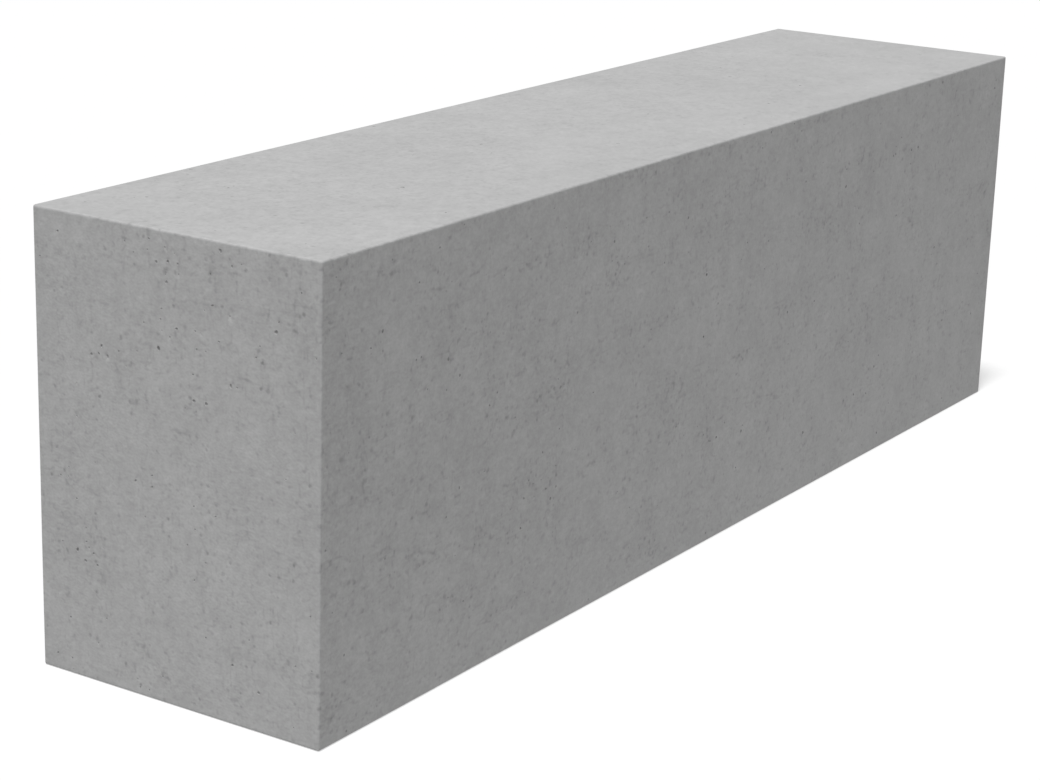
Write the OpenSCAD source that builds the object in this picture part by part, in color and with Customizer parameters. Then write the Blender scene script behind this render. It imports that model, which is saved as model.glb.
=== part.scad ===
// Reinforced concrete beam.
// One solid casting: a plain rectangular section that runs unchanged from end to end,
// with square ends, and with arrises and corners eased to the small radius that the mould leaves.
// The reinforcement lies inside the concrete, so no bar reaches a face.
//
// Frame: X along the beam, Y across it, Z up. The origin is the middle of the underside.

/* [Beam] */
// Length of the beam from end face to end face
beam_length = 1270; // [600:10:6000]
// Width of the section
beam_width = 295; // [100:5:600]
// Depth of the section from the underside to the top
beam_depth = 400; // [100:5:900]

/* [Arrises] */
// Radius of every arris, where two faces meet, and of every corner
arris_r = 2; // [1:0.5:15]

/* [Hidden] */
concrete_grey = [0.71, 0.71, 0.71]; // dry cement grey
arris_fn = 64;                      // steps in the full circle of an arris
overall = [beam_length, beam_width, beam_depth];
core = [for (size = overall) size - 2 * arris_r]; // the block between the centres of its arrises

// Three slabs crossed in the middle. Each is full size along one axis, and so makes two of
// the six flat faces, which stop where the arrises begin.
module flat_faces() {
    for (axis = [0:2])
        cube([for (k = [0:2]) k == axis ? overall[k] : core[k]], center = true);
}

// Twelve round bars, four along each axis, that ease the arrises.
module arrises() {
    turn = [[0, 90, 0], [90, 0, 0], [0, 0, 0]]; // lays a bar along X, Y or Z
    for (axis = [0:2], a = [-1, 1], b = [-1, 1]) {
        side = [[0, a, b], [a, 0, b], [a, b, 0]][axis];
        translate([for (k = [0:2]) side[k] * core[k] / 2])
            rotate(turn[axis])
                cylinder(h = core[axis], r = arris_r, center = true, $fn = arris_fn);
    }
}

// Eight balls, where three arrises meet.
module corners() {
    for (a = [-1, 1], b = [-1, 1], c = [-1, 1])
        translate([a * core.x, b * core.y, c * core.z] / 2)
            sphere(arris_r, $fn = arris_fn);
}

// The casting, lying on its underside.
module beam() {
    color(concrete_grey)
        translate([0, 0, beam_depth / 2]) {
            flat_faces();
            arrises();
            corners();
        }
}

beam();
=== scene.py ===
"""A reinforced concrete beam: one plain casting with fair faces, eased arrises and small blow holes."""

from collections import namedtuple
from math import pi, radians

import bmesh
import bpy
import numpy as np
from mathutils import Matrix, Vector


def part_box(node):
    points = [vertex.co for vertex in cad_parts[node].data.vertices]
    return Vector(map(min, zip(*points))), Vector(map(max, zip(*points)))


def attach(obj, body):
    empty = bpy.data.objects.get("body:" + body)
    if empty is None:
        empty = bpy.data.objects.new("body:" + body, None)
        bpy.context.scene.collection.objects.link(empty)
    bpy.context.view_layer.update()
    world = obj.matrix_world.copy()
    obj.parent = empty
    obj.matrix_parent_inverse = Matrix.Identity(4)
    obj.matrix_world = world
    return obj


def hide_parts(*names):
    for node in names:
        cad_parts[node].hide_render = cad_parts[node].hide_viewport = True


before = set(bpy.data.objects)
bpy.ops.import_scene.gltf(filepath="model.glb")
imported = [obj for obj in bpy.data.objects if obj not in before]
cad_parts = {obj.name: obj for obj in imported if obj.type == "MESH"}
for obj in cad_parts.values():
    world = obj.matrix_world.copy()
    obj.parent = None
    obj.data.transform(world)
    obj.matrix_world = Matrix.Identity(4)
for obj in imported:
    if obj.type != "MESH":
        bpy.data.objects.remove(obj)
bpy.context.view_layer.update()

MM = 0.001
LOWEST, HIGHEST = (np.array(corner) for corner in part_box("beam"))
MIDDLE = (LOWEST + HIGHEST) / 2
HALF = (HIGHEST - LOWEST) / 2


# ---------------------------------------------------------------- camera

EYE = Vector((-2.1183, -1.2963, 0.6649))  # from the middle of the beam, in metres
HEADING = radians(56.85)  # turned from +Y towards +X
LOOK_DOWN = radians(16.69)
ROLL = radians(1.70)
SENSOR = 36  # its width, in mm
LENS = 89.26  # in mm


def place_camera():
    """The eye stands off the near end, above the top and to the front, and looks slantwise along the beam
    with a long lens."""
    data = bpy.data.cameras.new("camera")
    data.sensor_width = SENSOR
    data.lens = LENS
    camera = bpy.data.objects.new("camera", data)
    turn = Matrix.Rotation(-HEADING, 4, "Z")
    tilt = Matrix.Rotation(pi / 2 - LOOK_DOWN, 4, "X")
    roll = Matrix.Rotation(ROLL, 4, "Z")
    camera.matrix_world = Matrix.Translation(Vector(MIDDLE) + EYE) @ turn @ tilt @ roll
    bpy.context.scene.collection.objects.link(camera)
    bpy.context.scene.camera = camera


# ---------------------------------------------------------------- shape of the casting

ARRIS_R = 2 * MM
ARRIS_STEPS = 2  # from a face to the middle of its arris
SUPPORT = 0.7 * MM  # a grid line this far inside the arris keeps the face flat up to it
CELL = 9 * MM  # the even grid of a face, where a cell holds one blow hole or none
WANDER = 0.16 * MM  # at most, how far a face strays in from flat
CREASE = radians(32)  # the turn past which an edge is shaded sharp, as at a hole's rim
CORE = HALF - ARRIS_R  # half the block that the arrises are centred on
WELD = 0.001 * MM  # points this close are one

# Each kind of blow hole: the radius that it serves up to, the sides of its rim, and its inner rings as
# (share of the rim's radius, share of the depth). Its last point is the bottom.
HOLE_KINDS = (
    (1.2 * MM, 8, ((0.72, 0.70),)),
    (2.1 * MM, 12, ((0.90, 0.42), (0.60, 0.86))),
    (np.inf, 16, ((0.94, 0.34), (0.78, 0.68), (0.45, 0.93))),
)
HOLE_R = (0.5 * MM, 0.95 * MM, 2.2 * MM)  # smallest, middle and largest
HOLE_SPREAD = 0.3  # of the logarithm of the radius
HOLE_DEPTH = (0.25, 0.5)  # least and most, as shares of the radius
HOLE_WAVER = 0.25  # the most that a and b are in a rim's outline, which holes_in gives
HOLE_DRIFT = 0.2  # at most, how far the bottom lies off the middle each way, as a share of the radius
HOLE_CLEARANCE = 0.35 * MM  # at least, from a rim to the edge of its cell
HOLE_SEED = 11  # another number gives other holes

# A face's normal lies along axis, outwards to side. Its grid runs along across and up. holes is about how
# many it has in a square metre, marks is how strong its marks are before they fade along the beam, and
# sheet is where its corner lies on the unfolded sheet, in metres.
Face = namedtuple("Face", "axis side across up holes marks sheet")
GAP = 8 * MM  # between two faces on the sheet
LENGTH, WIDTH, DEPTH = 2 * HALF
FACES = {
    "front": Face(1, -1, 0, 2, 350, 0.97, (0, 0)),
    "back": Face(1, 1, 0, 2, 350, 0.97, (0, DEPTH + GAP)),
    "top": Face(2, 1, 0, 1, 150, 0.55, (0, 2 * (DEPTH + GAP))),
    "underside": Face(2, -1, 0, 1, 300, 0.8, (0, 2 * (DEPTH + GAP) + WIDTH + GAP)),
    "near end": Face(0, -1, 1, 2, 850, 0.86, (LENGTH + GAP, 0)),
    "far end": Face(0, 1, 1, 2, 850, 1.18, (LENGTH + GAP, DEPTH + GAP)),
}
SHEET = np.array([LENGTH + WIDTH + GAP, 2 * (DEPTH + WIDTH) + 3 * GAP])
FADE = (1.17, 0.85)  # what a face's marks are multiplied by, at the near end and at the far end


def waves(seed, shortest, longest, squash=(1, 1, 1), count=40):
    """A smooth random field over space. At a point p it is the sum of count cosines of (k . p + phase),
    times the root of 2 / count, so its spread is about 1. Each k has a random direction and a wavelength
    between shortest and longest, in metres, which squash divides along each axis."""
    rng = np.random.default_rng(seed)
    direction = rng.normal(size=(count, 3))
    direction /= np.linalg.norm(direction, axis=1)[:, None]
    wavelength = shortest * (longest / shortest) ** rng.random(count)
    k = direction * (2 * pi / wavelength)[:, None] * squash
    phase = rng.uniform(0, 2 * pi, count)
    return lambda points: np.cos(points @ k.T + phase).sum(-1) * (2 / count) ** 0.5


face_wander = waves(seed=3, shortest=0.12, longest=0.6)
hole_crowding = waves(seed=5, shortest=0.05, longest=0.4, squash=(1, 1, 2.5))


def fade(points):
    """What the marks are multiplied by along the beam: far + (near - far) * s**2, with s the share of the
    length still ahead, so it falls ever more slowly. The crowding of the blow holes goes with its
    square."""
    near, far = FADE
    ahead = (1 - points[..., 0] / HALF[0]) / 2
    return far + (near - far) * ahead**2


def grid_lines(half):
    """Grid lines along one axis: over the arris at equal steps of its angle, the arris's edge, a
    supporting line, and even cells of about CELL between."""
    core = half - ARRIS_R
    angles = pi / 4 * np.arange(ARRIS_STEPS, 0, -1) / ARRIS_STEPS
    over_arris = np.append(core + ARRIS_R * np.tan(angles), core)
    inner = core - SUPPORT
    even = np.linspace(-inner, inner, round(2 * inner / CELL) + 1)
    return np.concatenate([-over_arris, even, over_arris[::-1]])


def on_casting(block, sunk):
    """Takes points of the sharp-edged block to the casting's skin. With q the nearest point of the core
    that the arrises are centred on, and n the direction from q to the point, the skin lies at
    q + n * ARRIS_R. It is then let in along n by sunk and by WANDER * (1 + tanh w) / 2, with w the
    face_wander there."""
    q = np.clip(block, -CORE, CORE)
    n = block - q
    n /= np.linalg.norm(n, axis=-1)[..., None]
    skin = q + n * ARRIS_R
    wander = WANDER * (1 + np.tanh(face_wander(skin))) / 2
    return skin - n * (wander + sunk)[..., None]


def hole_facets(sides, rings):
    """Triangles of a cell with a hole. Points 0 to 3 are the cell's corners, anticlockwise from its
    lowest. Then come the rim and the inner rings, each anticlockwise from the across side, and last the
    bottom."""
    corners = 4
    k = np.arange(sides)
    after = (k + 1) % sides
    quarter = sides // corners
    side = np.arange(corners)
    facets = [
        np.stack([(k // quarter + 2) % corners, corners + after, corners + k], 1),
        np.stack([(side + 1) % corners, (side + 2) % corners, corners + side * quarter], 1),
    ]
    for ring in range(rings):
        outer = corners + ring * sides
        inner = outer + sides
        facets.append(np.stack([outer + k, outer + after, inner + after], 1))
        facets.append(np.stack([outer + k, inner + after, inner + k], 1))
    last = corners + rings * sides
    facets.append(np.stack([last + k, last + after, np.full(sides, last + sides)], 1))
    return np.concatenate(facets)


def holes_in(cells, corners, first, kind, radius, rng):
    """Blow holes, one in each of the cells. At the angle t a rim's radius is r * (1 + a cos(2t + p) +
    b/2 cos(3t + q)), and the rings inside it shrink towards a bottom that lies a little off the middle.
    Returns the points on the grid, how far each is sunk, and the triangles, counted from first."""
    _, sides, rings = kind
    count = len(cells)
    t = 2 * pi * np.arange(sides) / sides
    a, b = rng.uniform(0, HOLE_WAVER, (2, count, 1))
    p, q = rng.uniform(0, 2 * pi, (2, count, 1))
    rim = radius[:, None] * (1 + a * np.cos(2 * t + p) + b / 2 * np.cos(3 * t + q))
    lowest, highest = cells[:, 0], cells[:, 2]
    room = (highest - lowest) / 2 - HOLE_CLEARANCE - rim.max(1)[:, None]
    middle = (lowest + highest) / 2 + rng.uniform(-1, 1, (count, 2)) * room.clip(0)
    drift = rng.uniform(-HOLE_DRIFT, HOLE_DRIFT, (count, 2)) * radius[:, None]
    depth = radius * rng.uniform(*HOLE_DEPTH, count)
    spoke = np.stack([np.cos(t), np.sin(t)], 1) * rim[..., None]
    shares = np.array([(1, 0), *rings])
    ring_points = (
        middle[:, None, None]
        + drift[:, None, None] * shares[:, 1, None, None]
        + spoke[:, None] * shares[:, 0, None, None]
    )
    ring_points = ring_points.reshape(count, len(shares) * sides, 2)
    points = np.concatenate([ring_points, (middle + drift)[:, None]], 1)
    sunk = np.append(np.repeat(shares[:, 1], sides), 1) * depth[:, None]
    facets = hole_facets(sides, len(rings))
    own = first + np.arange(count)[:, None] * points.shape[1] + np.arange(points.shape[1])
    triangles = np.concatenate([corners, own], 1)[:, facets]
    return points.reshape(-1, 2), sunk.ravel(), triangles.reshape(-1, 3)


def cell_corners(table):
    """The four corners of each cell of a grid, anticlockwise from its lowest."""
    return np.stack([table[:-1, :-1], table[1:, :-1], table[1:, 1:], table[:-1, 1:]], 2)


def cast_face(face, rng):
    """One face out to the middle of its arrises. Returns the points on the grid, how far each is sunk, and
    the triangles, anticlockwise on the grid."""
    lines = [grid_lines(HALF[face.across]), grid_lines(HALF[face.up])]
    grid = np.stack(np.meshgrid(*lines, indexing="ij"), -1)
    index = np.arange(grid[..., 0].size).reshape(grid.shape[:2])
    cells, corners = cell_corners(grid), cell_corners(index)
    border = ARRIS_STEPS + 1  # the cells over the arris and the narrow one beside it
    even = np.zeros(index[1:, 1:].shape, bool)
    even[border:-border, border:-border] = True

    centre = np.empty(even.shape + (3,))
    centre[..., face.axis] = face.side * HALF[face.axis]
    centre[..., face.across], centre[..., face.up] = np.moveaxis(cells.mean(2), -1, 0)
    crowding = np.exp(hole_crowding(centre)) * fade(centre) ** 2
    chance = face.holes * CELL**2 * crowding / crowding[even].mean()
    holed = even & (rng.random(even.shape) < chance)

    points, sunk = [grid.reshape(-1, 2)], [np.zeros(index.size)]
    plain = corners[~holed]
    triangles = [plain[:, [0, 1, 2]], plain[:, [0, 2, 3]]]
    smallest, middling, largest = HOLE_R
    radius = (middling * np.exp(HOLE_SPREAD * rng.normal(size=holed.sum()))).clip(smallest, largest)
    least = 0
    for kind in HOLE_KINDS:
        served = (radius >= least) & (radius < kind[0])
        least = kind[0]
        first = sum(map(len, sunk))
        made = holes_in(cells[holed][served], corners[holed][served], first, kind, radius[served], rng)
        for parts, part in zip((points, sunk, triangles), made):
            parts.append(part)
    return np.concatenate(points), np.concatenate(sunk), np.concatenate(triangles)


def cast_beam():
    """The whole casting as one closed mesh: its six faces, joined along the middles of their arrises."""
    rng = np.random.default_rng(HOLE_SEED)
    places, sheets, depths, marks, facets = [], [], [], [], []
    for face in FACES.values():
        points, sunk, triangles = cast_face(face, rng)
        block = np.empty((len(points), 3))
        block[:, face.axis] = face.side * HALF[face.axis]
        block[:, face.across], block[:, face.up] = points.T
        # 1 where anticlockwise on the grid faces outwards already, and -1 where the triangles are turned.
        outwards = np.cross(np.eye(3)[face.across], np.eye(3)[face.up])[face.axis] * face.side
        facets.append(sum(map(len, depths)) + triangles[:, :: int(outwards)])
        places.append(on_casting(block, sunk) + MIDDLE)
        depths.append(sunk)
        marks.append(face.marks * fade(block))
        corner = points - (-HALF[[face.across, face.up]])
        sheets.append((corner + face.sheet) / SHEET)
    parts = places, sheets, depths, marks, facets
    places, sheets, depths, marks, facets = map(np.concatenate, parts)

    mesh = bpy.data.meshes.new("beam_casting")
    mesh.from_pydata(places, [], facets)
    unfolded = mesh.uv_layers.new(name="OFBake")
    unfolded.uv.foreach_set("vector", sheets[facets].astype(np.float32).ravel())
    for name, values in {"sunk": depths, "marks": marks}.items():
        mesh.attributes.new(name, "FLOAT", "POINT").data.foreach_set("value", values.astype(np.float32))

    joined = bmesh.new()
    joined.from_mesh(mesh)
    bmesh.ops.remove_doubles(joined, verts=joined.verts, dist=WELD)
    joined.to_mesh(mesh)
    joined.free()
    mesh.shade_smooth()
    mesh.set_sharp_from_angle(angle=CREASE)
    return bpy.data.objects.new("beam_casting", mesh)


# ---------------------------------------------------------------- concrete

GREY = 0.368  # the share of light that plain concrete gives back
# Painted shade, with some dust: a hole's walls are darkened by how far down they lie.
HOLE_SHADE_AND_DUST = (0.16 * MM, 0.73)  # this far down a hole its wall gives back this share of GREY

# The fields of colour: the width of their patches, and how many times as long they are one way.
CLOUD = 120 * MM
BAND, BAND_LONG = 18 * MM, 5  # upright and level
STREAK, STREAK_LONG = 18 * MM, 1.5  # upright
SPECKLE, SPECKLE_LONG = 8 * MM, 1.3  # level
BLOTCH = 5.2 * MM
DASH, DASH_LONG = 3 * MM, 3  # upright and level
HAIR_BENDS, HAIR_LENGTH = 30 * MM, 25 * MM

PORE_SPACING = 8 * MM
PORE_R = (1.5 * MM, 3.4 * MM)  # smallest and largest
PORE_WAVER = (2 * MM, 3 * MM)  # how far its outline strays from round, and over what length

# The share of the tone that a field of 1 adds.
CLOUD_SHIFT = 0.07
STREAK_SHIFT = 0.10
SPECKLE_SHIFT = 0.16

# The share of the tone that a mark takes away where it is full.
BAND_DARK = 0.03
BLOTCH_DARK = 0.21
DASH_DARK = 0.09
HAIR_DARK = 0.08
PORE_DARK = 0.50

# A mark's field where the mark sets in, and where it is full.
BAND_SETS_IN = (0.1, 0.5)
BLOTCH_SETS_IN = (0.11, 0.48)
DASH_SETS_IN = (0.14, 0.40)
HAIR_SETS_IN = (0.006, 0)
HAIR_LASTS = (0.08, 0.14)  # a second field, which cuts the hair lines to length
PORES_SET_IN = (-0.45, 0.4)  # the bands' own field, so that the pores thin out between bands

# How much of the bands' field a mark's own takes up, to gather it in the bands.
BLOTCH_GATHERS = 0.18
DASH_GATHERS = 0.3

ROUGHNESS = 0.88
SPECKLE_ROUGH = 0.3
PORE_ROUGH = 0.1
SPECKLE_HIGH = 0.1  # in mm
PORE_DEEP = 0.25  # in mm


class Socket:
    """A node's output. Sums done with it add the Math nodes that work them out."""

    def __init__(self, nodes, output):
        self.nodes = nodes
        self.output = output

    def math(self, operation, *values):
        return self.nodes.add("ShaderNodeMath", {"operation": operation}, dict(enumerate(values)))

    def __add__(self, other):
        return self.math("ADD", self, other)

    def __sub__(self, other):
        return self.math("SUBTRACT", self, other)

    def __rsub__(self, other):
        return self.math("SUBTRACT", other, self)

    def __mul__(self, other):
        return self.math("MULTIPLY", self, other)

    def __abs__(self):
        return self.math("ABSOLUTE", self)

    __radd__ = __add__
    __rmul__ = __mul__


class Nodes:
    """The node tree of a material or of the world, and what adds nodes to it."""

    def __init__(self, owner):
        owner.use_nodes = True
        self.tree = owner.node_tree

    def add(self, kind, settings, sockets, output=0):
        """Adds a node: its settings first, then the values or links of its sockets."""
        node = self.tree.nodes.new(kind)
        for name, value in settings.items():
            setattr(node, name, value)
        self.fill(node, sockets)
        return Socket(self, node.outputs[output])

    def fill(self, node, sockets):
        """Gives a node's sockets their values or links."""
        for name, value in sockets.items():
            if isinstance(value, Socket):
                self.tree.links.new(value.output, node.inputs[name])
            else:
                node.inputs[name].default_value = value

    def place(self):
        """Where on the piece, in metres."""
        return self.add("ShaderNodeTexCoord", {}, {}, "Object")

    def carried(self, name):
        """A number that each point of the piece carries."""
        return self.add("ShaderNodeAttribute", {"attribute_name": name}, {}, "Fac")

    def patches(self, size, stretch=(1, 1, 1), halvings=0):
        """A soft random field about 0, with patches of a size, as many times as long along each axis as
        stretch says. It adds patches of half the last size as often as halvings says. Each size of patch
        spreads by about 0.14."""
        squeeze = tuple(1 / share for share in stretch)
        where = self.add("ShaderNodeMapping", {}, {"Vector": self.place(), "Scale": squeeze})
        sockets = {"Vector": where, "Scale": 1 / size, "Detail": halvings, "Roughness": 1}
        return (self.add("ShaderNodeTexNoise", {}, sockets) - 0.5) * (halvings + 1)

    def rise(self, value, low, high):
        """Rises smoothly from 0, where the value is low, to 1, where it is high."""
        ramp = {"Value": value, "From Min": low, "From Max": high}
        return self.add("ShaderNodeMapRange", {"interpolation_type": "SMOOTHSTEP"}, ramp)

    def pores(self):
        """Fine round pores, one about each random point of a pattern. At the distance d from its point a
        pore is (1 - d/r), smoothed, times its strength. Two numbers from 0 to 1 are drawn for each. The
        strength is the square of one, and r rises from the smallest to the largest with the square of the
        other. The space that d is measured in is wavered, so no outline is quite round."""
        strays, over = PORE_WAVER
        place = self.place()
        waver = self.add("ShaderNodeTexNoise", {}, {"Vector": place, "Scale": 1 / over}, "Color")
        moved = {0: waver, 1: (strays, strays, strays), 2: place}
        wavered = self.add("ShaderNodeVectorMath", {"operation": "MULTIPLY_ADD"}, moved)
        pattern = {"Vector": wavered, "Scale": 1 / PORE_SPACING}
        distance = self.add("ShaderNodeTexVoronoi", {}, pattern, "Distance") * PORE_SPACING
        drawn = {"Color": self.add("ShaderNodeTexVoronoi", {}, pattern, "Color")}
        size = self.add("ShaderNodeSeparateColor", {}, drawn, "Red")
        strength = self.add("ShaderNodeSeparateColor", {}, drawn, "Green")
        smallest, largest = PORE_R
        radius = size * size * (largest - smallest) + smallest
        return self.rise(distance, radius, 0) * strength * strength


def mix_concrete():
    """Smooth formed concrete, in one grey. Faint clouds, streaks and grainy speckles shift it both ways.
    Blotches, upright and level dashes, hair lines and fine pores darken it, and all but the hair lines
    gather in upright and level bands, which are a little darker themselves. The marks that the piece
    carries weigh them all but the clouds. Holes are darker inside, with painted shade and some dust."""
    material = bpy.data.materials.new("concrete")
    nodes = Nodes(material)
    marks, sunk = nodes.carried("marks"), nodes.carried("sunk")

    upright = nodes.patches(BAND, stretch=(1, 1, BAND_LONG))
    level = nodes.patches(BAND, stretch=(BAND_LONG, BAND_LONG, 1))
    bands = upright + level
    cloud = nodes.patches(CLOUD, halvings=2)
    streak = nodes.patches(STREAK, stretch=(1, 1, STREAK_LONG))
    speckle = nodes.patches(SPECKLE, stretch=(SPECKLE_LONG, SPECKLE_LONG, 1), halvings=2)
    banding = nodes.rise(bands, *BAND_SETS_IN)
    grain = streak * STREAK_SHIFT + speckle * SPECKLE_SHIFT - banding * BAND_DARK
    shift = cloud * CLOUD_SHIFT + grain * marks

    upright_dash = nodes.patches(DASH, stretch=(1, 1, DASH_LONG)) + upright * DASH_GATHERS
    level_dash = nodes.patches(DASH, stretch=(DASH_LONG, DASH_LONG, 1)) + level * DASH_GATHERS
    dashes = nodes.rise(upright_dash, *DASH_SETS_IN) + nodes.rise(level_dash, *DASH_SETS_IN)
    blotch = nodes.rise(nodes.patches(BLOTCH) + bands * BLOTCH_GATHERS, *BLOTCH_SETS_IN)
    line = nodes.rise(abs(nodes.patches(HAIR_BENDS, halvings=1)), *HAIR_SETS_IN)
    hair = line * nodes.rise(nodes.patches(HAIR_LENGTH), *HAIR_LASTS)
    pore = nodes.pores() * nodes.rise(bands, *PORES_SET_IN)
    dark = pore * PORE_DARK + blotch * BLOTCH_DARK + dashes * DASH_DARK + hair * HAIR_DARK

    down, share = HOLE_SHADE_AND_DUST
    # Painted shade, with some dust: a hole's walls darken with depth.
    hole_shade_and_dust = nodes.rise(sunk, 0, down) * (1 - share)
    tone = (1 + shift) * (1 - dark * marks) * (1 - hole_shade_and_dust) * GREY
    grey = nodes.add("ShaderNodeCombineColor", {}, {"Red": tone, "Green": tone, "Blue": tone})
    relief = (speckle * SPECKLE_HIGH - pore * PORE_DEEP) * marks
    bump = nodes.add("ShaderNodeBump", {}, {"Height": relief, "Distance": MM})
    roughness = ROUGHNESS + speckle * SPECKLE_ROUGH + pore * PORE_ROUGH
    looks = {"Base Color": grey, "Roughness": roughness, "Normal": bump}
    nodes.fill(nodes.tree.nodes["Principled BSDF"], looks)
    return material


# ---------------------------------------------------------------- stage

FLOOR_REACH = 30  # metres, each way
FLOOR_TONE = 0.358  # the share of light that it gives back
FLOOR_GLOW = 0.5  # it shines a little as well, so that no shadow on it is black
WALL_WHITE = 1.0  # the tone that the walls show
WALL_LIGHT = 0.06  # and the tone that they light the beam with
LAMP_LIGHT = 1.39  # the tone that a white face square to the lamp would have
LAMP_TOWARDS = (-0.245, -0.08, 1)  # it hangs high up, a little to the near end and the front
LAMP_WIDTH = radians(10)  # as it looks from the beam


def lay_floor():
    """A pale level floor, which the beam lies on."""
    mesh = bpy.data.meshes.new("floor")
    far = FLOOR_REACH
    mesh.from_pydata([(-far, -far, 0), (far, -far, 0), (far, far, 0), (-far, far, 0)], [], [(0, 1, 2, 3)])
    paint = bpy.data.materials.new("floor_paint")
    nodes = Nodes(paint)
    pale = {"Base Color": (FLOOR_TONE, FLOOR_TONE, FLOOR_TONE, 1)}
    matt = {"Roughness": 1, "Specular IOR Level": 0}
    glow = {"Emission Color": (1, 1, 1, 1), "Emission Strength": FLOOR_GLOW}
    nodes.fill(nodes.tree.nodes["Principled BSDF"], pale | matt | glow)
    mesh.materials.append(paint)
    floor = bpy.data.objects.new("floor", mesh)
    bpy.context.scene.collection.objects.link(floor)


def hang_lamp():
    """One soft lamp, so far off that its light is even all over."""
    light = bpy.data.lights.new("lamp", "SUN")
    light.energy = pi * LAMP_LIGHT
    light.angle = LAMP_WIDTH
    lamp = bpy.data.objects.new("lamp", light)
    lamp.rotation_euler = Vector(LAMP_TOWARDS).to_track_quat("Z", "Y").to_euler()
    bpy.context.scene.collection.objects.link(lamp)


def paint_backdrop():
    """The studio's walls look white, and give only a little light. Tones show as they are."""
    world = bpy.data.worlds.new("studio")
    nodes = Nodes(world)
    seen = nodes.add("ShaderNodeLightPath", {}, {}, "Is Camera Ray")
    strength = seen * (WALL_WHITE - WALL_LIGHT) + WALL_LIGHT
    nodes.fill(nodes.tree.nodes["Background"], {"Color": (1, 1, 1, 1), "Strength": strength})
    bpy.context.scene.world = world
    bpy.context.scene.view_settings.view_transform = "Standard"


place_camera()
beam = cast_beam()
beam.data.materials.append(mix_concrete())
bpy.context.scene.collection.objects.link(beam)
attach(beam, "root")
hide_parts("beam")
lay_floor()
hang_lamp()
paint_backdrop()
